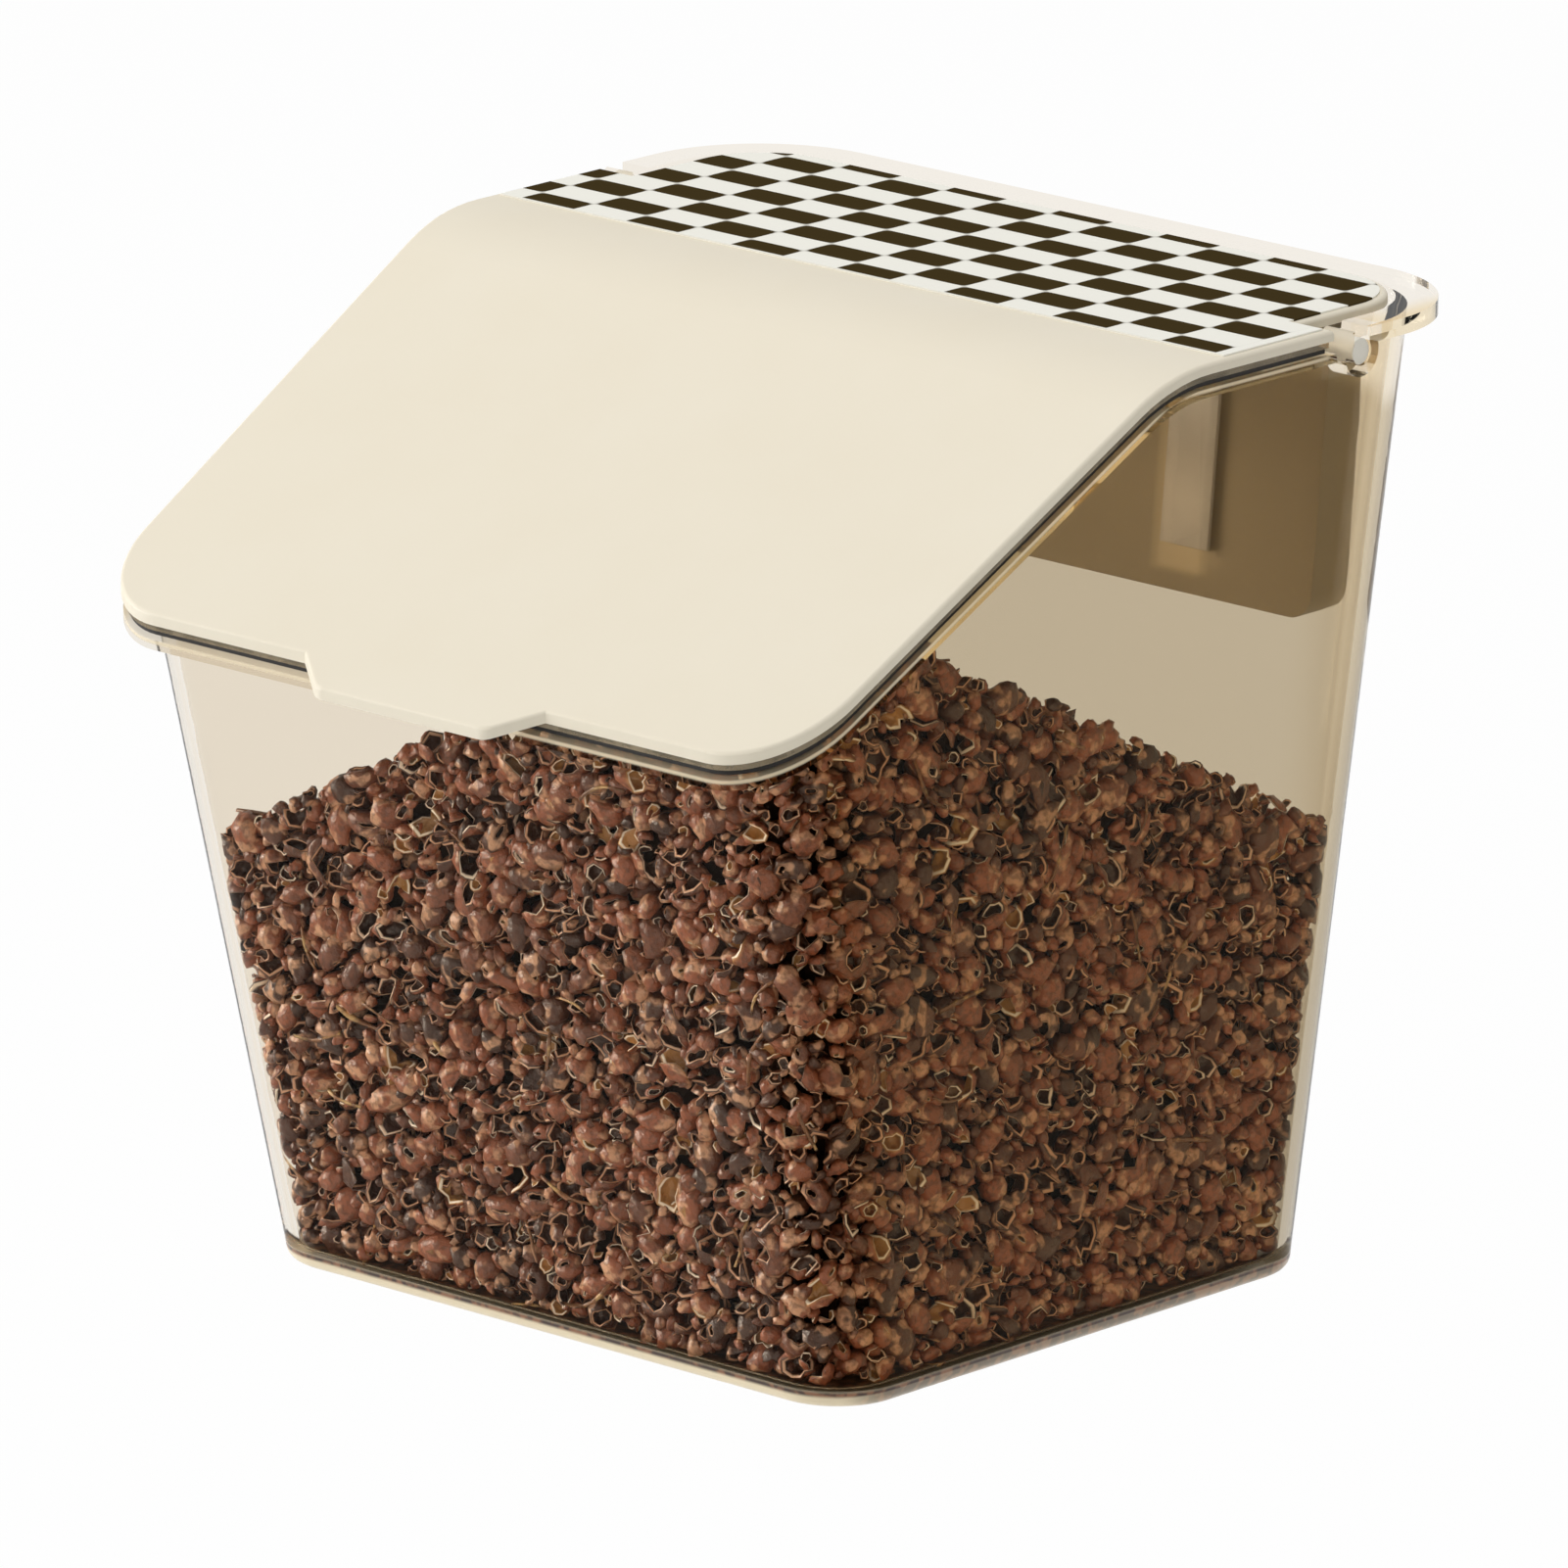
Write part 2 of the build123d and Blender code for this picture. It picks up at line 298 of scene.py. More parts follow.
class Finish:
    """A finish that makes its own material."""

    name: str

    def sheet(self) -> tuple[bpy.types.Material, NodeSheet]:
        """Starts a material.

        Returns:
            An empty material of this finish's name, and its node sheet.
        """
        material = bpy.data.materials.new(self.name)
        material.use_nodes = True
        return material, NodeSheet(material.node_tree)

    def coated(self, sheet: NodeSheet, sockets: dict[Union[int, str], Any]) -> None:
        """Ends a sheet in one Principled shader."""
        shader = sheet.wire("ShaderNodeBsdfPrincipled", None, sockets)
        sheet.node("ShaderNodeOutputMaterial", None, {"Surface": shader})

    def make(self) -> bpy.types.Material:
        """The material."""
        raise NotImplementedError


@dataclass(frozen=True)
class BoxForm:
    """The bin's taper and the line of the lid above it, as its solids have them."""

    base: float = -87.25 * MM
    side_draft: float = 0.081
    front_draft: float = 0.203
    rear_draft: float = 0.0964
    lid_edge: tuple[float, float] = (-56.99 * MM, 24.95 * MM)
    lid_slope: float = 0.5515


@dataclass(frozen=True)
class ClearPlastic(Finish):
    """Clear moulded plastic. Its tint is what one wall does to light that crosses it."""

    name: str
    tint: str
    roughness: float = 0.02
    ior: float = 1.12
    mirror: float = 0.0
    ripple: float = 18 * MM
    ripple_depth: float = 0.004 * MM

    def colour(self, sheet: NodeSheet, place: Wire) -> Union[Colour, Wire]:
        """The tint at a place."""
        return paint(self.tint)

    def edge_highlights(self, sheet: NodeSheet, place: Wire) -> Optional[tuple[Wire, Wire]]:
        """Where a painted highlight stands for an edge catching the light, and its colour there, if
        there is such an edge.
        """
        return None

    def make(self) -> bpy.types.Material:
        """Glass-like shader that lets the lamps through, with slight moulding ripples.

        Returns:
            The material.
        """
        material, sheet = self.sheet()
        place = sheet.place()
        body = sheet.wire(
            "ShaderNodeBsdfPrincipled",
            None,
            {
                "Base Color": self.colour(sheet, place),
                "Roughness": self.roughness,
                "IOR": self.ior,
                "Specular Tint": (self.mirror, self.mirror, self.mirror, 1.0),
                "Transmission Weight": 1.0,
                "Normal": sheet.bump(sheet.noise(place, self.ripple, 1.0), self.ripple_depth),
            },
        )
        edge_highlights = self.edge_highlights(sheet, place)
        if edge_highlights is not None:
            share, colour = edge_highlights
            # Painted highlight: an opaque pale shader where an edge catches the light.
            pale = sheet.wire("ShaderNodeBsdfPrincipled", None, {"Base Color": colour, "Roughness": 0.3})
            body = sheet.wire("ShaderNodeMixShader", None, {0: share, 1: body, 2: pale})
        one_face = tuple(channel**0.25 for channel in paint(self.tint))
        lamps = sheet.wire("ShaderNodeBsdfTransparent", None, {"Color": one_face})
        shadow = sheet.wire("ShaderNodeLightPath", None, None, "Is Shadow Ray")
        both = sheet.wire("ShaderNodeMixShader", None, {0: shadow, 1: body, 2: lamps})
        sheet.node("ShaderNodeOutputMaterial", None, {"Surface": both})
        return material


@dataclass(frozen=True)
class BinPlastic(ClearPlastic):
    """The bin's plastic, with painted shade: amber in the right wall, grey in the rear wall and deeper
    tint at the corners; and a pale painted highlight at its foot and its flange.
    """

    form: BoxForm = BoxForm()
    # Painted shade: the right wall's amber stands for the side that the lamps leave darker, not for the
    # plastic's own colour.
    right_shade_tint: str = "e8d3a9"
    right_wall: tuple[float, float] = (41.5 * MM, 45.5 * MM)
    # Painted shade: the front corners' deeper tints stand for the dark lines seen where one looks along
    # the walls.
    front_right_shade_tint: str = "b48c6c"
    front_left_shade_tint: str = "dccbae"
    front_corner: tuple[float, float] = (40.5 * MM, 43 * MM)
    front_wall: tuple[float, float] = (-95.5 * MM, -92.5 * MM)
    # Painted shade: the rear wall's grey, darker towards its right corner, stands for the shaded wall
    # behind the box.
    rear_shade_tint: str = "cbc6bd"
    rear_corner_shade_tint: str = "b6a88f"
    rear_corner: tuple[float, float] = (32 * MM, 48 * MM)
    rear_wall: tuple[float, float] = (-20.6 * MM, -19.4 * MM)
    rear_arc: tuple[float, float] = (16 * MM, 19 * MM)
    # Painted highlight: behind the hangers the rear wall's painted shade is left off, so that they show
    # bright.
    hanger_unshaded_x: float = 16 * MM
    hanger_unshaded_size: tuple[float, float] = (3.6 * MM, 13 * MM)
    hanger_unshaded_soft: float = 0.6 * MM
    rim: tuple[float, float] = (11 * MM, 15 * MM)
    # Painted highlight: the pale foot and flange stand for the plastic's edges catching the light.
    foot_highlight_colour: str = "f0dfbd"
    foot: tuple[float, float] = (-86.1 * MM, -85.6 * MM)
    husk_colours: tuple[str, str] = ("3a2318", "8c6042")
    husk_patch: float = 1.4 * MM
    husk_share: tuple[float, float] = (0.42, 0.6)
    husk_line: tuple[float, float] = (-85.5 * MM, -85.0 * MM)
    ear: tuple[float, float] = (-26.49 * MM, 22.05 * MM)
    ear_reach: tuple[float, float] = (3.1 * MM, 3.5 * MM)
    flange: tuple[float, float] = (2.85 * MM, 3.25 * MM)
    flange_soft: float = 0.15 * MM
    flange_highlight_share: float = 0.8
    flange_end: tuple[float, float] = (-31 * MM, -30 * MM)

    def colour(self, sheet: NodeSheet, place: Wire) -> Union[Colour, Wire]:
        """Pale tint, with painted shade: amber in the right wall but for its ear, and deeper tint at the
        corners.

        Args:
            sheet: The material's sheet.
            place: Where to read the tint.

        Returns:
            The tint, which painted shade turns grey in the rear wall but for behind the hangers and near
            the rim.
        """
        x, y, z = sheet.along(place)
        rise = z - self.form.base
        # Painted shade: grey in the rear wall, deeper towards its right corner.
        rear_corner_shade = paint(self.rear_corner_shade_tint)
        rear_shade_tint = sheet.mix(sheet.ramp(x, *self.rear_corner), paint(self.rear_shade_tint), rear_corner_shade)
        from_ear = (y - self.ear[0]).size().at_least((z - self.ear[1]).size())
        # Painted shade: amber in the right wall but for its ear.
        amber = self.at_right(sheet, x, z) * sheet.ramp(from_ear, *self.ear_reach)
        tint = sheet.mix(amber, paint(self.tint), paint(self.right_shade_tint))
        # Painted shade: deeper tint at both front corners.
        at_front = 1 - sheet.ramp(y + rise * self.form.front_draft, *self.front_wall)
        for across, corner_shade_tint in ((x, self.front_right_shade_tint), (0.0 - x, self.front_left_shade_tint)):
            corner = sheet.ramp(across - rise * self.form.side_draft, *self.front_corner) * at_front
            tint = sheet.mix(corner, tint, paint(corner_shade_tint))
        return sheet.mix(self.at_rear(sheet, x, y, z), tint, rear_shade_tint)

    def at_right(self, sheet: NodeSheet, x: Wire, z: Wire) -> Wire:
        """1 in the right wall, which leans outwards."""
        return sheet.ramp(x - (z - self.form.base) * self.form.side_draft, *self.right_wall)

    def at_rear(self, sheet: NodeSheet, x: Wire, y: Wire, z: Wire) -> Wire:
        """Finds the rear wall and its corners, which lean outwards too.

        Args:
            sheet: The material's sheet.
            x: Place across.
            y: Place towards the wall.
            z: Height.

        Returns:
            1 there, and 0 behind the two hangers, where the painted shade is left off so that they show
            bright, and near the rim.
        """
        rise = z - self.form.base
        inward = x.size() - rise * self.form.side_draft
        back = y - rise * self.form.rear_draft
        rear = sheet.ramp(back, *self.rear_wall).at_least(sheet.ramp(inward + back, *self.rear_arc))
        rear = rear * (1 - sheet.ramp(z, *self.rim))
        # Painted highlight: no painted shade behind the two hangers.
        aside = (x.size() - self.hanger_unshaded_x).size()
        hanger_unshaded = 1 - sheet.step(aside, self.hanger_unshaded_size[0], self.hanger_unshaded_soft)
        hanger_unshaded = hanger_unshaded * (1 - sheet.step(z.size(), self.hanger_unshaded_size[1], self.hanger_unshaded_soft))
        return rear * (1 - hanger_unshaded)

    def edge_highlights(self, sheet: NodeSheet, place: Wire) -> Optional[tuple[Wire, Wire]]:
        """The foot, a pale painted highlight under a brown line of husks, and the flange just under the
        lid, a pale painted highlight too.

        Args:
            sheet: The material's sheet.
            place: Where to read them.

        Returns:
            How much of them shows there, and their colour.
        """
        x, y, z = sheet.along(place)
        foot = 1 - sheet.ramp(z, *self.husk_line)
        brown = sheet.ramp(z, *self.foot).at_least(self.at_right(sheet, x, z)) * foot
        cosine = 1 / math.hypot(1, self.form.lid_slope)
        level_depth = self.form.lid_edge[1] - z
        slope_depth = (level_depth + (y - self.form.lid_edge[0]) * self.form.lid_slope) * cosine
        depth = level_depth.at_most(slope_depth)
        # Painted highlight: a pale band along the flange just under the lid.
        flange = sheet.step(depth, self.flange[0], self.flange_soft)
        flange = flange * (1 - sheet.step(depth, self.flange[1], self.flange_soft))
        flange = flange * (1 - sheet.ramp(y, *self.flange_end))
        dark, light = self.husk_colours
        patches = sheet.ramp(sheet.noise(place, self.husk_patch, 2.0), *self.husk_share)
        husks = sheet.mix(patches, paint(dark), paint(light))
        colour = sheet.mix(brown, paint(self.foot_highlight_colour), husks)
        return foot.at_least(flange * self.flange_highlight_share), colour


@dataclass(frozen=True)
class MilkyPlastic(Finish):
    """Half clear plastic that catches light in its depth and shines on top."""

    name: str
    colour: str
    clearness: float = 0.35
    roughness: float = 0.16
    ior: float = 1.2
    cloud: float = 3 * MM
    cloud_depth: float = 0.02 * MM

    def make(self) -> bpy.types.Material:
        """Clear and pale parts in soft clouds under one smooth skin.

        Returns:
            The material.
        """
        material, sheet = self.sheet()
        place = sheet.place()
        clouds = sheet.noise(place, self.cloud, 2.0)
        skin = {"Base Color": paint(self.colour), "Roughness": self.roughness}
        uneven = {"Normal": sheet.bump(clouds, self.cloud_depth)}
        pale = sheet.wire("ShaderNodeBsdfPrincipled", None, {**skin, **uneven})
        glass = {"IOR": self.ior, "Transmission Weight": 1.0}
        clear = sheet.wire("ShaderNodeBsdfPrincipled", None, {**skin, **glass})
        share = self.clearness * (0.7 + 0.6 * clouds)
        both = sheet.wire("ShaderNodeMixShader", None, {0: share, 1: pale, 2: clear})
        sheet.node("ShaderNodeOutputMaterial", None, {"Surface": both})
        return material


@dataclass(frozen=True)
class MouldedPlastic(Finish):
    """Opaque moulded plastic with a fine texture and a slight unevenness of colour."""

    name: str
    colour: str
    other_colour: str
    roughness: float
    blotch: float = 14 * MM
    grain: float = 0.35 * MM
    grain_depth: float = 0.006 * MM
    sheen_level: float = 0.5

    def make(self) -> bpy.types.Material:
        """Cloudy colour, cloudy gloss and a fine grain.

        Returns:
            The material.
        """
        material, sheet = self.sheet()
        place = sheet.place()
        clouds = sheet.noise(place, self.blotch, 3.0)
        self.coated(
            sheet,
            {
                "Base Color": sheet.mix(clouds, paint(self.colour), paint(self.other_colour)),
                "Roughness": self.roughness * (0.85 + 0.3 * clouds),
                "Specular IOR Level": self.sheen_level,
                "Normal": sheet.bump(sheet.noise(place, self.grain, 2.0), self.grain_depth),
            },
        )
        return material


@dataclass(frozen=True)
class CheckerPrint(Finish):
    """White film printed with dark checks. X and Y are places in the part's frame."""

    name: str
    white: str
    dark: str
    check_width: float
    check_depth: float
    start_x: float
    start_y: float
    print_front: float
    print_right: float
    join: float = -0.01
    softness: float = 0.035
    edge: float = 0.12 * MM
    roughness: float = 0.32
    ink_roughness: float = 0.12
    grain: float = 0.5 * MM
    ink_height: float = 0.008 * MM

    def make(self) -> bpy.types.Material:
        """Checks whose corners just join, with a white margin in front and at the right.

        Returns:
            The material.
        """
        material, sheet = self.sheet()
        place = sheet.place()
        x, y, _ = sheet.along(place)
        across = ((x - self.start_x) * (math.pi / self.check_width)).sine()
        back = ((y - self.start_y) * (math.pi / self.check_depth)).sine()
        check = sheet.step(across * back, -self.join, self.softness)
        inside = sheet.step(y, self.print_front, self.edge)
        inside = inside * (1 - sheet.step(x, self.print_right, self.edge))
        ink = check * inside
        grain = sheet.noise(place, self.grain, 2.0)
        self.coated(
            sheet,
            {
                "Base Color": sheet.mix(ink, paint(self.white), paint(self.dark)),
                "Roughness": self.roughness + self.ink_roughness * ink,
                "Specular IOR Level": 0.0,
                "Normal": sheet.bump(grain + ink, self.ink_height),
            },
        )
        return material


@dataclass(frozen=True)
class FoamPad(Finish):
    """White foam with small cells and an adhesive skin."""

    name: str
    colour: str
    cell_colour: str
    cell: float = 0.6 * MM
    cell_depth: float = 0.05 * MM
    roughness: float = 0.75

    def make(self) -> bpy.types.Material:
        """Small dark cells in pale foam.

        Returns:
            The material.
        """
        material, sheet = self.sheet()
        place = sheet.place()
        cells = sheet.wire("ShaderNodeTexVoronoi", None, {"Vector": place, "Scale": 1 / self.cell})
        self.coated(
            sheet,
            {
                "Base Color": sheet.mix(cells, paint(self.colour), paint(self.cell_colour)),
                "Roughness": self.roughness,
                "Normal": sheet.bump(cells, self.cell_depth),
            },
        )
        return material


@dataclass(frozen=True)
class HuskSkin(Finish):
    """Dry husk: a wrinkled red-brown skin with tan patches, partly its own tone and partly painted
    highlight, a lining painted dark as shade in most husks and tan in a few, and a pale torn rim.
    """

    name: str
    dark: str
    red: str
    tan: str
    lining: str
    rim: str
    roughness: float = 0.2
    dullness: float = 0.25
    wrinkle: float = 0.65 * MM
    wrinkle_depth: float = 0.22 * MM
    wrinkle_dark: tuple[float, float] = (0.44, 0.64)
    wrinkle_share: float = 0.5
    patch: float = 3.1
    # Tan patches stand partly for the skin's own tone and partly for painted highlight.
    tan_highlight_patch: tuple[float, float] = (0.53, 0.63)
    tan_highlight_share: float = 0.8
    red_tone: tuple[float, float] = (0.0, 0.7)
    # Tones below this range get a lining painted dark as shade.
    lining_tone: tuple[float, float] = (0.78, 0.86)
    rim_tone: tuple[float, float] = (0.45, 0.85)
    lining_mark: tuple[float, float] = (0.2, 0.5)
    rim_mark: tuple[float, float] = (0.56, 0.85)

    def make(self) -> bpy.types.Material:
        """Skin colour by the husk's own tone, lining and rim by the mesh's marks.

        Returns:
            The material.
        """
        material, sheet = self.sheet()
        place = sheet.place()
        tone = sheet.attribute(HuskMark.TONE.value)
        torn = sheet.attribute(HuskMark.TORN.value)
        wrinkles = sheet.noise(place, self.wrinkle, 3.0)
        patches = sheet.noise(place, self.patch * self.wrinkle, 1.0)
        dark, tan = paint(self.dark), paint(self.tan)
        skin = sheet.mix(sheet.ramp(tone, *self.red_tone), dark, paint(self.red))
        # Tan patches: partly the skin's own tone, partly painted highlight.
        skin = sheet.mix(sheet.ramp(patches, *self.tan_highlight_patch) * self.tan_highlight_share, skin, tan)
        skin = sheet.mix(sheet.ramp(wrinkles, *self.wrinkle_dark) * self.wrinkle_share, skin, dark)
        # Painted shade: the lining is painted dark inside most husks, and pale only for the palest
        # tones.
        inside = sheet.mix(sheet.ramp(tone, *self.lining_tone), dark, paint(self.lining))
        rim = sheet.mix(sheet.ramp(tone, *self.rim_tone), tan, paint(self.rim))
        colour = sheet.mix(sheet.ramp(torn, *self.lining_mark), skin, inside)
        colour = sheet.mix(sheet.ramp(torn, *self.rim_mark), colour, rim)
        self.coated(
            sheet,
            {
                "Base Color": colour,
                "Roughness": self.roughness + self.dullness * wrinkles,
                "Normal": sheet.bump(wrinkles, self.wrinkle_depth),
            },
        )
        return material


@dataclass(frozen=True)
class StudioWhite(Finish):
    """Pale matt floor that shows the camera a nearly white surface and keeps its shadow."""

    name: str
    colour: str
    glow: float

    def make(self) -> bpy.types.Material:
        """Matt paint with a white share that only what is seen gets.

        Returns:
            The material.
        """
        material, sheet = self.sheet()
        matt = sheet.wire("ShaderNodeBsdfDiffuse", None, {"Color": paint(self.colour)})
        white = sheet.wire("ShaderNodeEmission", None, {"Color": paint("ffffff"), "Strength": 1.0})
        both = sheet.wire("ShaderNodeMixShader", None, {0: sheet.shown() * self.glow, 1: matt, 2: white})
        sheet.node("ShaderNodeOutputMaterial", None, {"Surface": both})
        return material


def dress(piece: bpy.types.Object, finish: Finish) -> bpy.types.Object:
    """Gives a piece one finish all over.

    Args:
        piece: The piece, whose own materials are dropped.
        finish: The finish to make.

    Returns:
        The same piece.
    """
    piece.data.materials.clear()
    piece.data.materials.append(finish.make())
    for face in piece.data.polygons:
        face.material_index = 0
    return piece


def place_in_scene(name: str, data: bpy.types.ID) -> bpy.types.Object:
    """Makes an object of a mesh, lamp or camera and links it to the scene.

    Args:
        name: The object's name.
        data: What it shows.

    Returns:
        The object.
    """
    made = bpy.data.objects.new(name, data)
    bpy.context.scene.collection.objects.link(made)
    return made


@dataclass
class Lid:
    """The bent cream lid with its film, clear frame, seal and hinge pins."""

    nodes: dict[str, bpy.types.Object]
    check_width: float = 7.98 * MM
    check_depth: float = 4.6 * MM
    print_margin: float = 0.3 * MM
    front_row_depth: float = 3.4 * MM
    first_check_x: float = -51.0 * MM
    print_right: float = 52.7 * MM

    def build(self) -> list[bpy.types.Object]:
        """Dresses the lid's pieces.

        Returns:
            The pieces.
        """
        pin = MouldedPlastic("pale_pin_plastic", "f8f4e8", "efe8d8", 0.3)
        finishes = {
            "lid_cover": MouldedPlastic("cream_lid_plastic", "efe6d2", "ece2cc", 0.52),
            "checker_film": self.film_print(),
            "lid_frame": MilkyPlastic("tan_lid_frame", "e6d2ae", clearness=0.72),
            "lid_seal": MouldedPlastic("black_seal_rubber", "1a130c", "100b07", 0.55, sheen_level=0.3),
            "hinge_pin_left": pin,
            "hinge_pin_right": pin,
        }
        return [dress(self.nodes[name], finish) for name, finish in finishes.items()]

    def film_print(self) -> CheckerPrint:
        """Places the checks from the film's own front edge.

        Returns:
            The film's finish.
        """
        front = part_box("checker_film")[0].y + self.print_margin
        return CheckerPrint(
            "checkered_film",
            white="fffdf3",
            dark="443820",
            check_width=self.check_width,
            check_depth=self.check_depth,
            start_x=self.first_check_x,
            start_y=front + self.front_row_depth - self.check_depth,
            print_front=front,
            print_right=self.print_right,
        )


@dataclass
class Bin:
    """The clear box and the hangers welded to its rear wall."""

    nodes: dict[str, bpy.types.Object]

    def build(self) -> list[bpy.types.Object]:
        """Dresses the shell and both hangers.

        Returns:
            The pieces.
        """
        shell = BinPlastic("clear_amber_shell", "f2ece2")
        hanger = MilkyPlastic("milky_hanger_plastic", "e9e4de", clearness=0.12, roughness=0.1)
        finishes = {"box_shell": shell, "hanger_left": hanger, "hanger_right": hanger}
        return [dress(self.nodes[name], finish) for name, finish in finishes.items()]


@dataclass
class WallMount:
    """The brown plate and the foam pad that hold the box on the wall."""

    nodes: dict[str, bpy.types.Object]

    grain: float = 0.5 * MM
    grain_depth: float = 0.02 * MM

    def build(self) -> list[bpy.types.Object]:
        """Dresses the plate and its pad.

        Returns:
            Both pieces.
        """
        texture = {"grain": self.grain, "grain_depth": self.grain_depth}
        plate = MouldedPlastic("brown_plate_plastic", "c4b494", "baaa8a", 0.6, **texture)
        pad = FoamPad("white_adhesive_foam", "e6e4dd", "bdb9ad")
        return [dress(self.nodes["wall_plate"], plate), dress(self.nodes["adhesive_pad"], pad)]


class HuskMark(Enum):
    """Numbers that the heap's meshes hold for each point."""

    TONE = "husk_tone"
    TORN = "husk_torn"


class HuskKind(Enum):
    """How far a husk has opened: the half angle of its mouth in degrees."""

    SPLIT = 16.0
    OPEN = 36.0
    CUP = 66.0
    FLAKE = 100.0


@dataclass
class Shape:
    """A small closed mesh that is copied many times."""

    points: np.ndarray
    corners: np.ndarray
    sizes: np.ndarray
    torn: np.ndarray


@dataclass
class Batch:
    """Many copies of a shape: points, corners, face sizes, torn marks and tones."""

    points: np.ndarray
    corners: np.ndarray
    sizes: np.ndarray
    torn: np.ndarray
    tones: np.ndarray


class HeapFace(Enum):
    """The heap's faces in the order of Room.nearest_face, each with its way out."""

    RIGHT = (1, 0, 0)
    LEFT = (-1, 0, 0)
    FRONT = (0, -1, 0)
    REAR = (0, 1, 0)
    FLOOR = (0, 0, -1)
    TOP = (0, 0, 1)


ANY_ANGLE = 6.28


@dataclass
class Seats:
    """Where husks lie: their middles, the way out to the nearest face, that face and their sizes."""

    centres: np.ndarray
    outward: np.ndarray
    faces: np.ndarray
    sizes: np.ndarray

    def pick(self, which: np.ndarray) -> "Seats":
        """The seats that a mask or a list of numbers names."""
        return Seats(self.centres[which], self.outward[which], self.faces[which], self.sizes[which])


@dataclass(frozen=True)
class Room:
    """The tapered space inside the bin, a hair clear of its walls."""

    form: BoxForm = BoxForm()
    floor: float = 1.95 * MM
    half_width: float = 42.65 * MM
    front: float = -95.74 * MM
    rear: float = -19.04 * MM
    corner: float = 6.85 * MM
    front_corner_growth: float = 0.018
    rear_corner_growth: float = 0.049

    def limits(self, z: np.ndarray) -> tuple[np.ndarray, np.ndarray, np.ndarray]:
        """Measures the room at some heights.

        Args:
            z: The heights.

        Returns:
            Half its width, its front and its rear.
        """
        form = self.form
        rise = z - form.base
        half = self.half_width + form.side_draft * rise
        return half, self.front - form.front_draft * rise, self.rear + form.rear_draft * rise

    def hold(self, points: np.ndarray, margin: Union[float, np.ndarray]) -> np.ndarray:
        """Moves points inwards until they are clear of the walls and the floor.

        Args:
            points: The points.
            margin: How far inside they have to be.

        Returns:
            The points, moved where they had to be.
        """
        z = np.maximum(points[:, 2], self.form.base + self.floor + margin)
        half, front, rear = self.limits(z)
        half, front, rear = half - margin, front + margin, rear - margin
        x = np.clip(points[:, 0], -half, half)
        y = np.clip(points[:, 1], front, rear)
        rise = z - self.form.base
        front_radius = np.maximum(self.corner + self.front_corner_growth * rise - margin, 0)
        rear_radius = np.maximum(self.corner + self.rear_corner_growth * rise - margin, 0)
        at_rear = y > (front + rear) / 2
        radius = np.where(at_rear, rear_radius, front_radius)
        along = np.where(at_rear, y - (rear - radius), (front + radius) - y)
        across = np.abs(x) - (half - radius)
        reach = np.hypot(along, across)
        beyond = (along > 0) & (across > 0) & (reach > radius)
        scale = np.where(beyond, radius / np.maximum(reach, 1e-9), 1.0)
        arc_middle = np.where(at_rear, rear - radius, front + radius)
        y = np.where(beyond, arc_middle + np.where(at_rear, 1, -1) * along * scale, y)
        x = np.where(beyond, np.sign(x) * (half - radius + across * scale), x)
        return np.stack([x, y, z], axis=1)

    def nearest_face(self, points: np.ndarray) -> np.ndarray:
        """Finds the face that each point lies nearest to.

        Args:
            points: The points.

        Returns:
            The faces' numbers in HeapFace, from the right to the floor.
        """
        half, front, rear = self.limits(points[:, 2])
        x, y, z = points.T
        above = z - self.form.base - self.floor
        return np.argmin([half - x, half + x, y - front, rear - y, above], axis=0)


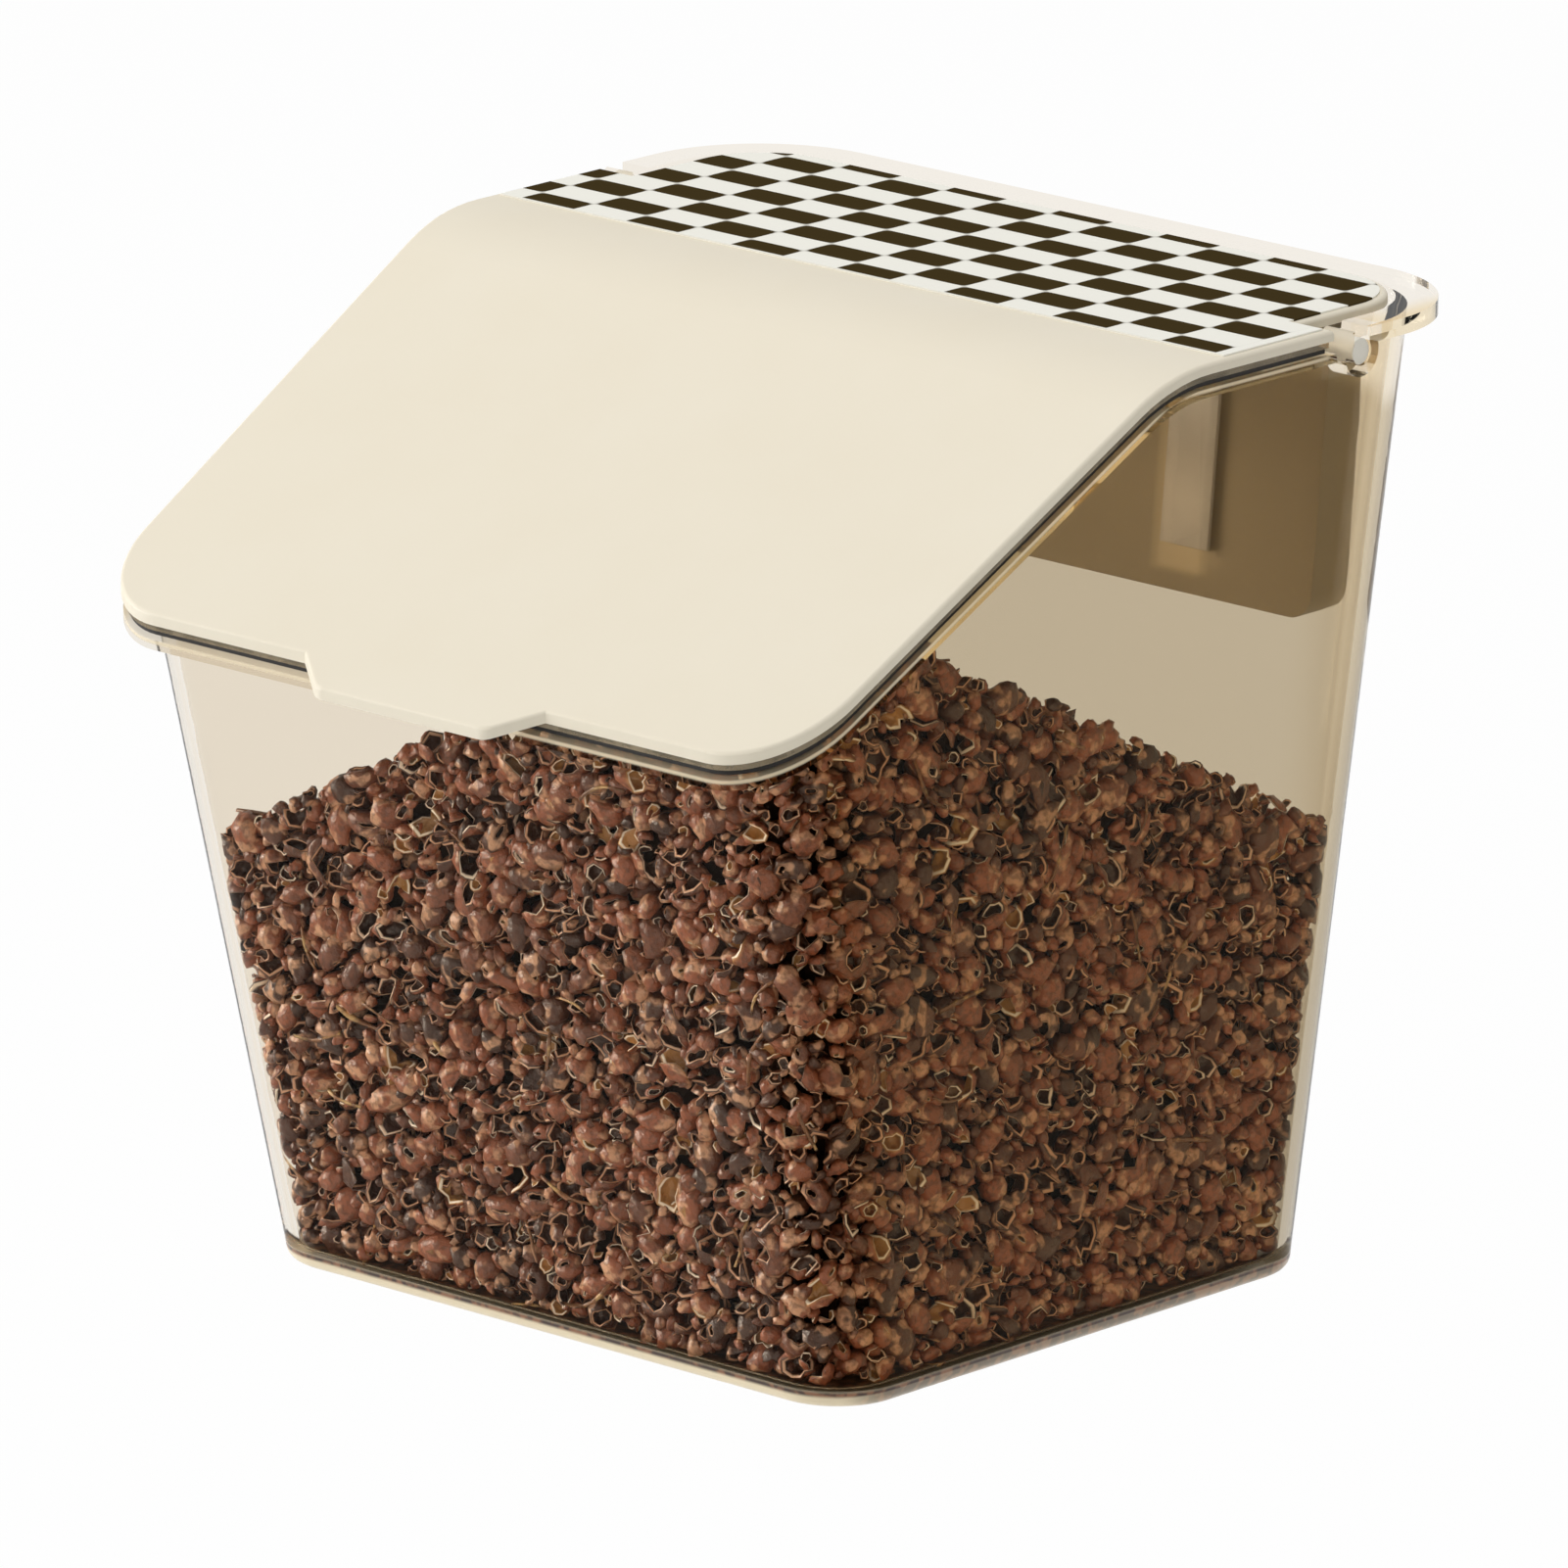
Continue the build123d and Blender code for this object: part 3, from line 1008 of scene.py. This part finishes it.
@dataclass
class HuskHeap:
    """The heap of peppercorn husks: a core painted dark as the shade deep in the heap, under layers of
    modelled husks and stems.
    """

    nodes: dict[str, bpy.types.Object]
    seed: int = 11
    corner: tuple[float, float, float] = (49 * MM, -108.99 * MM, 8.15 * MM)
    slope: float = 0.46
    bed: float = -40.25 * MM
    lid_room: float = 5.7 * MM
    room: Room = Room()
    radius: float = 2.0 * MM
    radius_spread: float = 0.17
    radius_limits: tuple[float, float] = (0.65, 1.3)
    spacing: float = 2.95 * MM
    second_layer: float = 2.4 * MM
    crumb_radius: float = 1.05 * MM
    crumb_spacing: float = 1.6 * MM
    crumb_layer: float = 0.5 * MM
    wall_seat: float = 0.75
    top_seat: float = 0.5
    least_cover: float = 0.35
    wall_draws: int = 675000
    top_draws: int = 13500
    wall_band: float = 2 * MM
    draw_edge: float = 3 * MM
    top_shift: float = 1.5 * MM
    skin: float = 0.58 * MM
    around: int = 11
    outer_rings: int = 4
    inner_rings: int = 3
    variants: int = 6
    mouth_wave: float = 0.5
    mouth_jitter: float = 0.07
    broad_waves: tuple[int, float, float] = (5, 2.4, 0.07)
    fine_waves: tuple[int, float, float] = (6, 5.5, 0.034)
    mouths_out: float = 0.3
    mouth_tilt: float = 0.45
    core_inset: float = 3.2 * MM
    stems: int = 190
    stem_radius: float = 0.24 * MM
    stem_lengths: tuple[float, float] = (4.5 * MM, 8.5 * MM)
    stem_unit: float = 7 * MM
    stem_swell: tuple[float, float] = (0.8, 1.25)
    stem_bend: float = 0.16
    stem_depth: float = 0.55
    stem_sides: int = 5
    stem_rings: int = 6
    rng: np.random.Generator = field(init=False)

    def __post_init__(self) -> None:
        """Seeds the heap's own random numbers."""
        self.rng = np.random.default_rng(self.seed)

    def pod(self, kind: HuskKind) -> Shape:
        """One husk of radius 1: a wrinkled ball with a wall, open along +Z.

        Args:
            kind: How far it has opened.

        Returns:
            The husk's closed mesh, with torn at 0 on the skin, 0.5 on the lining and 1 on the rim.
        """
        rng = self.rng
        turn = np.arange(self.around) * (2 * math.pi / self.around)
        oval = 1 + self.mouth_wave * np.cos(2 * turn + rng.uniform(0, ANY_ANGLE))
        mouth = math.radians(kind.value) * oval
        mouth *= 1 + rng.normal(0, self.mouth_jitter, self.around)
        kinds = (self.broad_waves, self.fine_waves)
        waves = np.concatenate([rng.normal(0, pitch, (number, 3)) for number, pitch, _ in kinds])
        swings = np.repeat([swing for _, _, swing in kinds], [number for number, _, _ in kinds])
        phases = rng.uniform(0, ANY_ANGLE, len(swings))
        squash = np.array([rng.uniform(0.6, 0.9), rng.uniform(1.0, 1.3), rng.uniform(0.65, 0.95)])

        def shell(polar: np.ndarray, radius: float) -> np.ndarray:
            """Goes once round a wrinkled ball.

            Args:
                polar: The angle from the mouth at each turn.
                radius: The ball's radius.

            Returns:
                One point for each turn.
            """
            across = np.sin(polar)
            ball = np.stack([across * np.cos(turn), across * np.sin(turn), np.cos(polar)], axis=1)
            wrinkle = 1 + (np.sin(ball @ waves.T + phases) * swings).sum(axis=1)
            return ball * (radius * wrinkle)[:, None] * squash

        thick = self.skin / self.radius
        rings = []
        torn = []
        for step in range(1, self.outer_rings):
            share = step / self.outer_rings
            rings.append(shell(math.pi - share * (math.pi - mouth), 1.0))
            torn.append(0.0)
        rings.append(shell(mouth + 0.06, 1.0))
        torn.append(0.35)
        rings.append(shell(mouth, 1.0 - thick / 2))
        torn.append(1.0)
        for step in range(self.inner_rings):
            share = step / self.inner_rings
            rings.append(shell(mouth + 0.1 + share * (math.pi - mouth - 0.1), 1.0 - thick))
            torn.append(0.55)
        count = self.around
        outer_pole = shell(np.full(count, math.pi), 1.0)[:1]
        inner_pole = shell(np.full(count, math.pi), 1.0 - thick)[:1]
        points = np.concatenate(rings + [outer_pole, inner_pole])
        marks = np.repeat(torn + [0.0], [count] * len(rings) + [1])
        marks = np.append(marks, 0.55)
        outer, inner = len(points) - 2, len(points) - 1
        corners: list[int] = []
        sizes: list[int] = []
        for i in range(count):
            j = (i + 1) % count
            corners += [outer, j, i]
            sizes.append(3)
            for ring in range(len(rings) - 1):
                low, high = ring * count, (ring + 1) * count
                corners += [low + i, low + j, high + j, high + i]
                sizes.append(4)
            last = (len(rings) - 1) * count
            corners += [last + i, last + j, inner]
            sizes.append(3)
        return Shape(points, np.array(corners), np.array(sizes), marks)

    def stem(self) -> Shape:
        """One stem of length 1 along Z, thin, bent and closed at both ends.

        Returns:
            The stem's closed mesh.
        """
        rng = self.rng
        sides, rings = self.stem_sides, self.stem_rings
        bend = rng.uniform(-self.stem_bend, self.stem_bend, 2)
        turn = np.arange(sides) * (2 * math.pi / sides)
        points = []
        for step in range(rings):
            t = step / (rings - 1)
            width = self.stem_radius * rng.uniform(*self.stem_swell) / self.stem_unit
            middle = np.append(bend * math.sin(math.pi * t), t - 0.5)
            ring = np.stack([np.cos(turn) * width, np.sin(turn) * width, np.zeros(sides)], axis=1)
            points.append(ring + middle)
        corners: list[int] = list(range(sides))[::-1]
        corners += range((rings - 1) * sides, rings * sides)
        sizes = [sides, sides]
        for low in range(0, (rings - 1) * sides, sides):
            for i in range(sides):
                j = (i + 1) % sides
                corners += [low + i, low + j, low + sides + j, low + sides + i]
                sizes.append(4)
        torn = np.zeros(sides * rings)
        return Shape(np.concatenate(points), np.array(corners), np.array(sizes), torn)

    def top(self, x: np.ndarray, y: np.ndarray) -> np.ndarray:
        """Height of the heap at places seen from above.

        Args:
            x: Places across.
            y: Places towards the wall.

        Returns:
            Heights, which fall from the front right corner to a low bed and stay under the lid.
        """
        edge_y, edge_z = self.room.form.lid_edge
        right, front, height = self.corner
        tilted = height + self.slope * (x - right) - self.slope * (y - front)
        lid_slope = self.room.form.lid_slope
        under_lid = edge_z + lid_slope * np.minimum(y - edge_y, 0) - self.lid_room
        return np.minimum(np.maximum(tilted, self.bed), under_lid)

    def near_walls(self, count: int, margin: float) -> np.ndarray:
        """Random places all over the walls and the floor.

        Args:
            count: How many places to draw before most are dropped.
            margin: How far inside the walls they lie.

        Returns:
            The places that are left.
        """
        low, high = (np.array(corner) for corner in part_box("spice_fill"))
        drawn = self.rng.uniform(low - self.draw_edge, high + self.draw_edge, (count, 3))
        inner = self.room.hold(drawn, margin)
        outer = self.room.hold(drawn, margin - self.wall_band)
        skin = np.any(inner != drawn, axis=1) & np.all(outer == drawn, axis=1)
        return inner[skin]

    def on_top(self, count: int, margin: float, depth: float) -> np.ndarray:
        """Random places just under the heap's top.

        Args:
            count: How many places.
            margin: How far inside the walls they lie.
            depth: How far under the top they lie.

        Returns:
            The places.
        """
        low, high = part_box("spice_fill")
        x, y = (self.rng.uniform(low[i], high[i], count) for i in (0, 1))
        places = np.stack([x, y, self.top(x, y) - depth], axis=1)
        held = self.room.hold(places, margin)
        return held[np.linalg.norm(held - places, axis=1) < self.top_shift]

    def seats(self) -> Seats:
        """Scatters the husks' places over the heap's faces, two layers deep and never too close.

        Returns:
            The seats, with crumbs in the gaps between the husks.
        """
        taken: dict[tuple[int, ...], list[np.ndarray]] = {}
        rows: list[tuple[np.ndarray, float, bool]] = []
        for layer, size, apart in (
            (0.0, self.radius, self.spacing),
            (self.second_layer, self.radius, self.spacing),
            (self.crumb_layer, self.crumb_radius, self.crumb_spacing),
        ):
            margin = self.wall_seat * size + layer
            sides = self.near_walls(self.wall_draws, margin)
            top = self.on_top(self.top_draws, margin, self.top_seat * size + layer)
            places = np.concatenate([sides, top])
            from_top = np.arange(len(places)) >= len(sides)
            heap_top = self.top(places[:, 0], places[:, 1])
            below = places[:, 2] <= heap_top - self.least_cover * size
            for number in self.rng.permutation(np.flatnonzero(below)):
                place = places[number]
                cell = tuple((place // self.spacing).astype(int))
                if not self.crowded(place, cell, taken, apart):
                    taken.setdefault(cell, []).append(place)
                    rows.append((place, size, bool(from_top[number])))
        centres = np.array([row[0] for row in rows])
        top_face = len(HeapFace) - 1
        faces = np.where([row[2] for row in rows], top_face, self.room.nearest_face(centres))
        outward = np.array([face.value for face in HeapFace], float)[faces]
        return Seats(centres, outward, faces, np.array([row[1] for row in rows]))

    def crowded(
        self,
        centre: np.ndarray,
        cell: tuple[int, ...],
        taken: dict[tuple[int, ...], list[np.ndarray]],
        apart: float,
    ) -> bool:
        """Tells whether a husk already lies too near.

        Args:
            centre: The place to test.
            cell: The cell of the grid that it lies in.
            taken: The husks so far, by cell.
            apart: The least distance.

        Returns:
            True if one lies within that distance.
        """
        for dx, dy, dz in product((-1, 0, 1), repeat=3):
            for other in taken.get((cell[0] + dx, cell[1] + dy, cell[2] + dz), ()):
                if np.sum((centre - other) ** 2) < apart**2:
                    return True
        return False

    def turns(self, seats: Seats) -> np.ndarray:
        """Random rotations, of which some turn the husk's mouth out towards the wall.

        Args:
            seats: The husks' places.

        Returns:
            One 3 by 3 matrix for each husk.
        """
        count = len(seats.sizes)
        aims = self.rng.normal(size=(count, 3))
        open_out = self.rng.uniform(size=count) < self.mouths_out
        tilted = seats.outward + self.rng.normal(0, self.mouth_tilt, (count, 3))
        aims[open_out] = tilted[open_out]
        spins = self.rng.uniform(0, 2 * math.pi, count)
        return np.array([self.turn_to(aim, spin) for aim, spin in zip(aims, spins)])

    @staticmethod
    def turn_to(aim: np.ndarray, spin: float = 0.0) -> np.ndarray:
        """Rotation that points Z along an aim, after a spin about it."""
        turn = Vector(aim).to_track_quat("Z", "Y").to_matrix() @ Matrix.Rotation(spin, 3, "Z")
        return np.array(turn)

    def copies(
        self, shape: Shape, seats: Seats, turns: np.ndarray, scales: np.ndarray, tones: np.ndarray
    ) -> Batch:
        """Copies one shape to its seats, pressed flat where it meets a wall.

        Args:
            shape: The mesh to copy.
            seats: Where the copies go.
            turns: Their rotations.
            scales: Their sizes in metres.
            tones: Their tones from 0 to 1.

        Returns:
            All the copies in one batch.
        """
        count = len(scales)
        points = np.einsum("mij,nj->mni", turns, shape.points) * scales[:, None, None]
        points = self.room.hold((points + seats.centres[:, None, :]).reshape(-1, 3), 0.0)
        start = np.arange(count) * len(shape.points)
        corners = (shape.corners[None, :] + start[:, None]).ravel()
        sizes, torn = np.tile(shape.sizes, count), np.tile(shape.torn, count)
        return Batch(points, corners, sizes, torn, np.repeat(tones, len(shape.points)))

    def mesh(self, name: str, parts: list[Batch]) -> bpy.types.Object:
        """Joins batches into one smooth piece with its tone and torn marks.

        Args:
            name: The piece's name.
            parts: The batches.

        Returns:
            The piece, linked to the scene.
        """
        offsets = np.cumsum([0] + [len(p.points) for p in parts[:-1]])
        points = np.concatenate([p.points for p in parts])
        corners = np.concatenate([p.corners + o for p, o in zip(parts, offsets)])
        sizes = np.concatenate([p.sizes for p in parts])
        made = bpy.data.meshes.new(name)
        made.vertices.add(len(points))
        made.vertices.foreach_set("co", points.astype(np.float32).ravel())
        made.loops.add(len(corners))
        made.loops.foreach_set("vertex_index", corners.astype(np.int32))
        made.polygons.add(len(sizes))
        made.polygons.foreach_set("loop_start", np.append(0, np.cumsum(sizes)[:-1]).astype(np.int32))
        made.update(calc_edges=True)
        made.validate()
        made.polygons.foreach_set("use_smooth", np.ones(len(made.polygons), bool))
        torn = np.concatenate([p.torn for p in parts]).astype(np.float32)
        tones = np.concatenate([p.tones for p in parts]).astype(np.float32)
        for mark, values in ((HuskMark.TORN, torn), (HuskMark.TONE, tones)):
            made.attributes.new(mark.value, "FLOAT", "POINT").data.foreach_set("value", values)
        return place_in_scene(name, made)

    def core(self) -> bpy.types.Object:
        """Filling under the husks, drawn in from the solid heap on every side, and later painted dark as
        the shade deep in the heap.

        Returns:
            The filling, linked to the scene.
        """
        low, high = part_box("spice_fill")
        middle = (low + high) / 2
        shrink = [1 - 2 * self.core_inset / (high[i] - low[i]) for i in range(3)]
        made = self.nodes["spice_fill"].data.copy()
        made.name = "heap_core"
        for vertex in made.vertices:
            for i in range(3):
                vertex.co[i] = middle[i] + (vertex.co[i] - middle[i]) * shrink[i]
        return place_in_scene("heap_core", made)

    def build(self) -> list[bpy.types.Object]:
        """Builds the husks side by side, the stems and the core, and seats them in the box.

        Returns:
            The pieces.
        """
        skin = HuskSkin("peppercorn_husk", "412619", "9b5a3d", "deac89", "c29057", "fff2de")
        dry = HuskSkin("dry_stem", "5a3822", "8a5c38", "dcb67c", "b98a52", "e0c290")
        # Painted shade: the core is painted near black for the deep shade between the husks.
        core_shade = MouldedPlastic("heap_core_shade", "2c1b11", "1e120b", 0.9, sheen_level=0.1)
        closed, cup, flake = HuskKind.SPLIT, HuskKind.CUP, HuskKind.FLAKE
        kinds = [closed, closed, HuskKind.OPEN, cup, flake, flake]
        shapes = [self.pod(kind) for kind in kinds for _ in range(self.variants)]
        seats = self.seats()
        pieces = []
        for number, face in enumerate(HeapFace):
            mine = seats.pick(seats.faces == number)
            name = f"husks_{face.name.lower()}"
            pieces.append(self.settle(self.husk_piece(name, shapes, mine), skin))
        pieces.append(self.settle(self.stem_piece(seats), dry))
        core = self.settle(self.core(), core_shade)
        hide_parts("spice_fill")
        return pieces + [core]

    def husk_piece(self, name: str, shapes: list[Shape], seats: Seats) -> bpy.types.Object:
        """Fills some seats with husks of every shape, turned and sized at random.

        Args:
            name: The piece's name.
            shapes: The shapes to choose from.
            seats: Where the husks lie.

        Returns:
            The husks as one piece.
        """
        count = len(seats.sizes)
        turns = self.turns(seats)
        spread = self.rng.normal(1.0, self.radius_spread, count).clip(*self.radius_limits)
        scales = seats.sizes * spread
        tones = self.rng.uniform(0, 1, count)
        picks = self.rng.integers(0, len(shapes), count)
        parts = []
        for k, shape in enumerate(shapes):
            which = np.flatnonzero(picks == k)
            if which.size:
                mine = seats.pick(which)
                parts.append(self.copies(shape, mine, turns[which], scales[which], tones[which]))
        return self.mesh(name, parts)

    def stem_piece(self, seats: Seats) -> bpy.types.Object:
        """Thin stems that lie among the outer husks.

        Args:
            seats: The husks' places, from which the stems take theirs.

        Returns:
            The stems as one piece.
        """
        parts = []
        for pick in self.rng.choice(len(seats.sizes), self.stems, replace=False):
            seat = seats.pick(np.array([pick]))
            outward = seat.outward[0]
            along = np.cross(outward, self.rng.normal(size=3))
            along = along / np.linalg.norm(along) + outward * self.rng.normal(0, 0.12)
            seat.centres = seat.centres + outward * self.stem_depth * self.radius
            length = self.rng.uniform(*self.stem_lengths, 1)
            turn = self.turn_to(along)[None]
            parts.append(self.copies(self.stem(), seat, turn, length, self.rng.uniform(0.3, 1.0, 1)))
        return self.mesh("stems", parts)

    def settle(self, piece: bpy.types.Object, finish: Finish) -> bpy.types.Object:
        """Dresses a piece of the heap and lets it ride in the box.

        Args:
            piece: The piece.
            finish: Its finish.

        Returns:
            The same piece.
        """
        dress(piece, finish)
        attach(piece, "box")
        return piece


@dataclass(frozen=True)
class Lamp:
    """A soft square lamp: its name, where it hangs in metres and its power in watts."""

    name: str
    place: tuple[float, float, float]
    power: float

    def make(self, size: float, aim: Vector) -> bpy.types.Object:
        """Hangs the lamp.

        Args:
            size: Length of its side.
            aim: Where it points.

        Returns:
            The lamp.
        """
        light = bpy.data.lights.new(self.name, "AREA")
        light.energy = self.power
        light.size = size
        holder = place_in_scene(self.name, light)
        holder.location = self.place
        holder.rotation_euler = (aim - Vector(self.place)).to_track_quat("-Z", "Y").to_euler()
        return holder


@dataclass
class Studio:
    """Floor, soft light and a camera at the photograph's viewing angle."""

    azimuth: float = 42.14
    elevation: float = 15.446
    roll: float = 0.451
    distance: float = 1.9902
    focal_pixels: float = 18205.0
    frame_pixels: float = 1601.0
    aim: tuple[float, float, float] = (0.0, -0.056987, -0.03725)
    aim_right: float = -1.16 * MM
    aim_up: float = 5.18 * MM
    sensor: float = 36.0
    floor_drop: float = 0.25
    floor_size: float = 12.0
    world_light: float = 0.38
    floor_glow: float = 0.97
    lamp_size: float = 0.9
    lamps: tuple[Lamp, ...] = (
        Lamp("key_lamp", (-0.35, -0.3, 2.1), 19.8),
        Lamp("left_lamp", (-1.8, -1.0, 0.12), 22.5),
        Lamp("right_lamp", (1.4, -1.45, 0.1), 4.5),
    )
    sight_end: float = 50.0

    def build(self) -> list[bpy.types.Object]:
        """Makes the floor, the world, the lamps and the camera.

        Returns:
            The floor, the lamps and the camera.
        """
        floor = self.make_floor()
        self.make_world()
        lamps = [lamp.make(self.lamp_size, Vector(self.aim)) for lamp in self.lamps]
        return [floor, *lamps, self.make_camera()]

    def make_floor(self) -> bpy.types.Object:
        """Lays a pale floor some way under the box, which hangs on a wall.

        Returns:
            The floor.
        """
        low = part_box("box_shell")[0].z - self.floor_drop
        half = self.floor_size / 2
        mesh = bpy.data.meshes.new("floor")
        corners = [(-half, -half, low), (half, -half, low), (half, half, low), (-half, half, low)]
        mesh.from_pydata(corners, [], [(0, 1, 2, 3)])
        white = StudioWhite("studio_floor", "f4f4f2", self.floor_glow)
        floor = dress(place_in_scene("floor", mesh), white)
        return floor

    def make_world(self) -> None:
        """Plain white surroundings that light the part evenly."""
        world = bpy.data.worlds.new("studio")
        world.use_nodes = True
        bpy.context.scene.world = world
        sheet = NodeSheet(world.node_tree)
        strength = self.world_light + sheet.shown() * (1 - self.world_light)
        sockets = {"Color": paint("ffffff"), "Strength": strength}
        light = sheet.wire("ShaderNodeBackground", None, sockets)
        sheet.node("ShaderNodeOutputWorld", None, {"Surface": light})

    def make_camera(self) -> bpy.types.Object:
        """Sets up a long lens at the viewing angle worked out from the photograph.

        Returns:
            The camera.
        """
        a, e, r = (math.radians(t) for t in (self.azimuth, self.elevation, self.roll))
        right = Vector((math.cos(a), math.sin(a), 0))
        ahead = Vector((-math.sin(a) * math.cos(e), math.cos(a) * math.cos(e), -math.sin(e)))
        up = right.cross(ahead)
        right, up = right * math.cos(r) + up * math.sin(r), up * math.cos(r) - right * math.sin(r)
        target = Vector(self.aim) + right * self.aim_right + up * self.aim_up
        lens = bpy.data.cameras.new("camera")
        lens.sensor_width = self.sensor
        lens.lens = self.focal_pixels / self.frame_pixels * self.sensor
        lens.clip_end = self.sight_end
        camera = place_in_scene("camera", lens)
        turn = Matrix((right, up, -ahead)).transposed()
        camera.matrix_world = Matrix.Translation(target - ahead * self.distance) @ turn.to_4x4()
        bpy.context.scene.camera = camera
        return camera


def main() -> None:
    """Loads the frame, builds everything round it in order and reports each piece."""
    logging.basicConfig(level=logging.INFO, format="%(message)s")
    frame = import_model()
    bpy.context.scene.view_settings.view_transform = "Standard"
    nodes = frame["nodes"]
    for assembly in (Bin(nodes), WallMount(nodes), Lid(nodes), HuskHeap(nodes), Studio()):
        for piece in assembly.build():
            log.info("%s: %s", type(assembly).__name__, piece.name)


if __name__ == "__main__":
    main()
